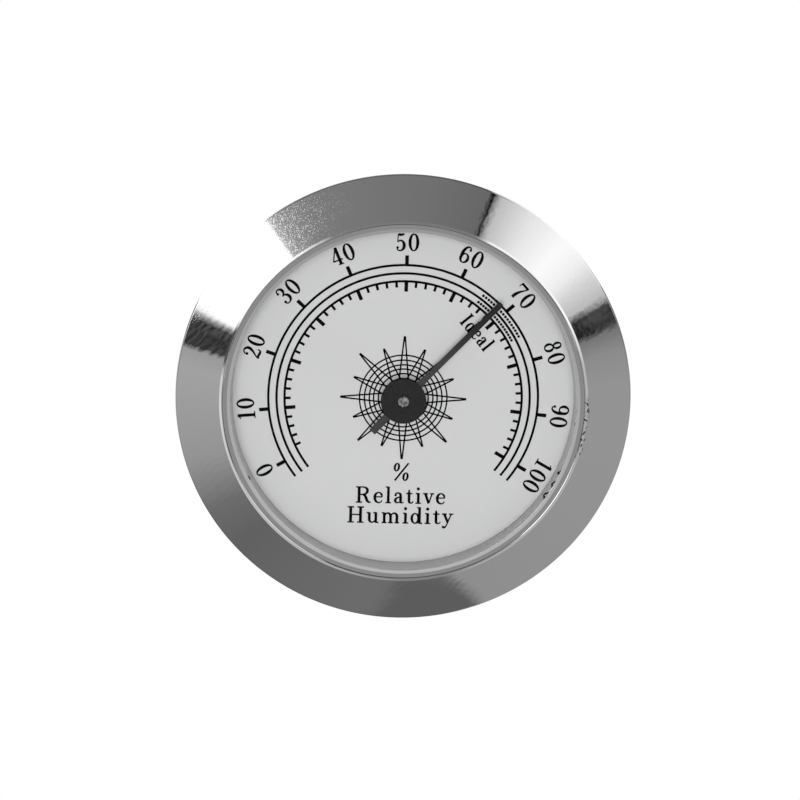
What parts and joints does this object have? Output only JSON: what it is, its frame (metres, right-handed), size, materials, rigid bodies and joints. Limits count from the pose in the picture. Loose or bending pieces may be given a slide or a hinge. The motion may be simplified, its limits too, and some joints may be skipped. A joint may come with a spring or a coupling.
{
  "type": "dial hygrometer",
  "caption": "Round panel-mount dial hygrometer: chromed conical flange, printed humidity scale, coil-driven pointer on an arbor, vented case with a calibration screw.",
  "frame": {"origin": "on the dial's axis, in the plane of the flange's flat seat", "axes": "+Y from the reader into the panel along the dial's axis, +Z to 12 o'clock, +X to 3 o'clock"},
  "size_m": [0.05, 0.0117, 0.05],
  "materials": {
    "chrome": "mirror polish",
    "lens_glass": "clear, polished",
    "dial_face": "fine satin silver with black print",
    "case_steel": "turned satin",
    "brass": "turned, plain",
    "plated_steel": "zinc plated",
    "coil_strip": "coated bronze strip, dull",
    "arbor_steel": "bright turned",
    "pointer_paint": "matte charcoal with fine grain"
  },
  "bodies": {
    "case": {"trim_ring": "chrome", "lens_rim": "chrome", "lens": "lens_glass", "reflector_ring": "chrome", "dial_plate": "dial_face", "case_cup": "case_steel", "bridge": "brass", "pillar_left": "brass", "pillar_right": "brass", "bridge_screw_left": "plated_steel", "bridge_screw_right": "plated_steel", "front_bush": "brass"},
    "regulator": {"calibration_screw": "brass", "regulator_arm": "plated_steel", "coil_stud": "brass", "spring_washer": "plated_steel", "humidity_coil": "coil_strip"},
    "pointer": {"arbor": "arbor_steel", "collet": "brass", "pointer_boss": "brass", "pointer": "pointer_paint", "hub_disc": "pointer_paint"}
  },
  "joints": [
    {"name": "calibration_turn", "type": "hinge", "parent": "case", "child": "regulator", "pos_m": [0, 0, 0], "axis": [0, 1, 0], "range_deg": [-15, 15]},
    {"name": "humidity_swing", "type": "hinge", "parent": "regulator", "child": "pointer", "pos_m": [0, 0, 0], "axis": [0, 1, 0], "range_deg": [-163.2, 76.8], "stiffness_Nm_per_rad": 0.0002, "deforming": ["humidity_coil"]}
  ]
}
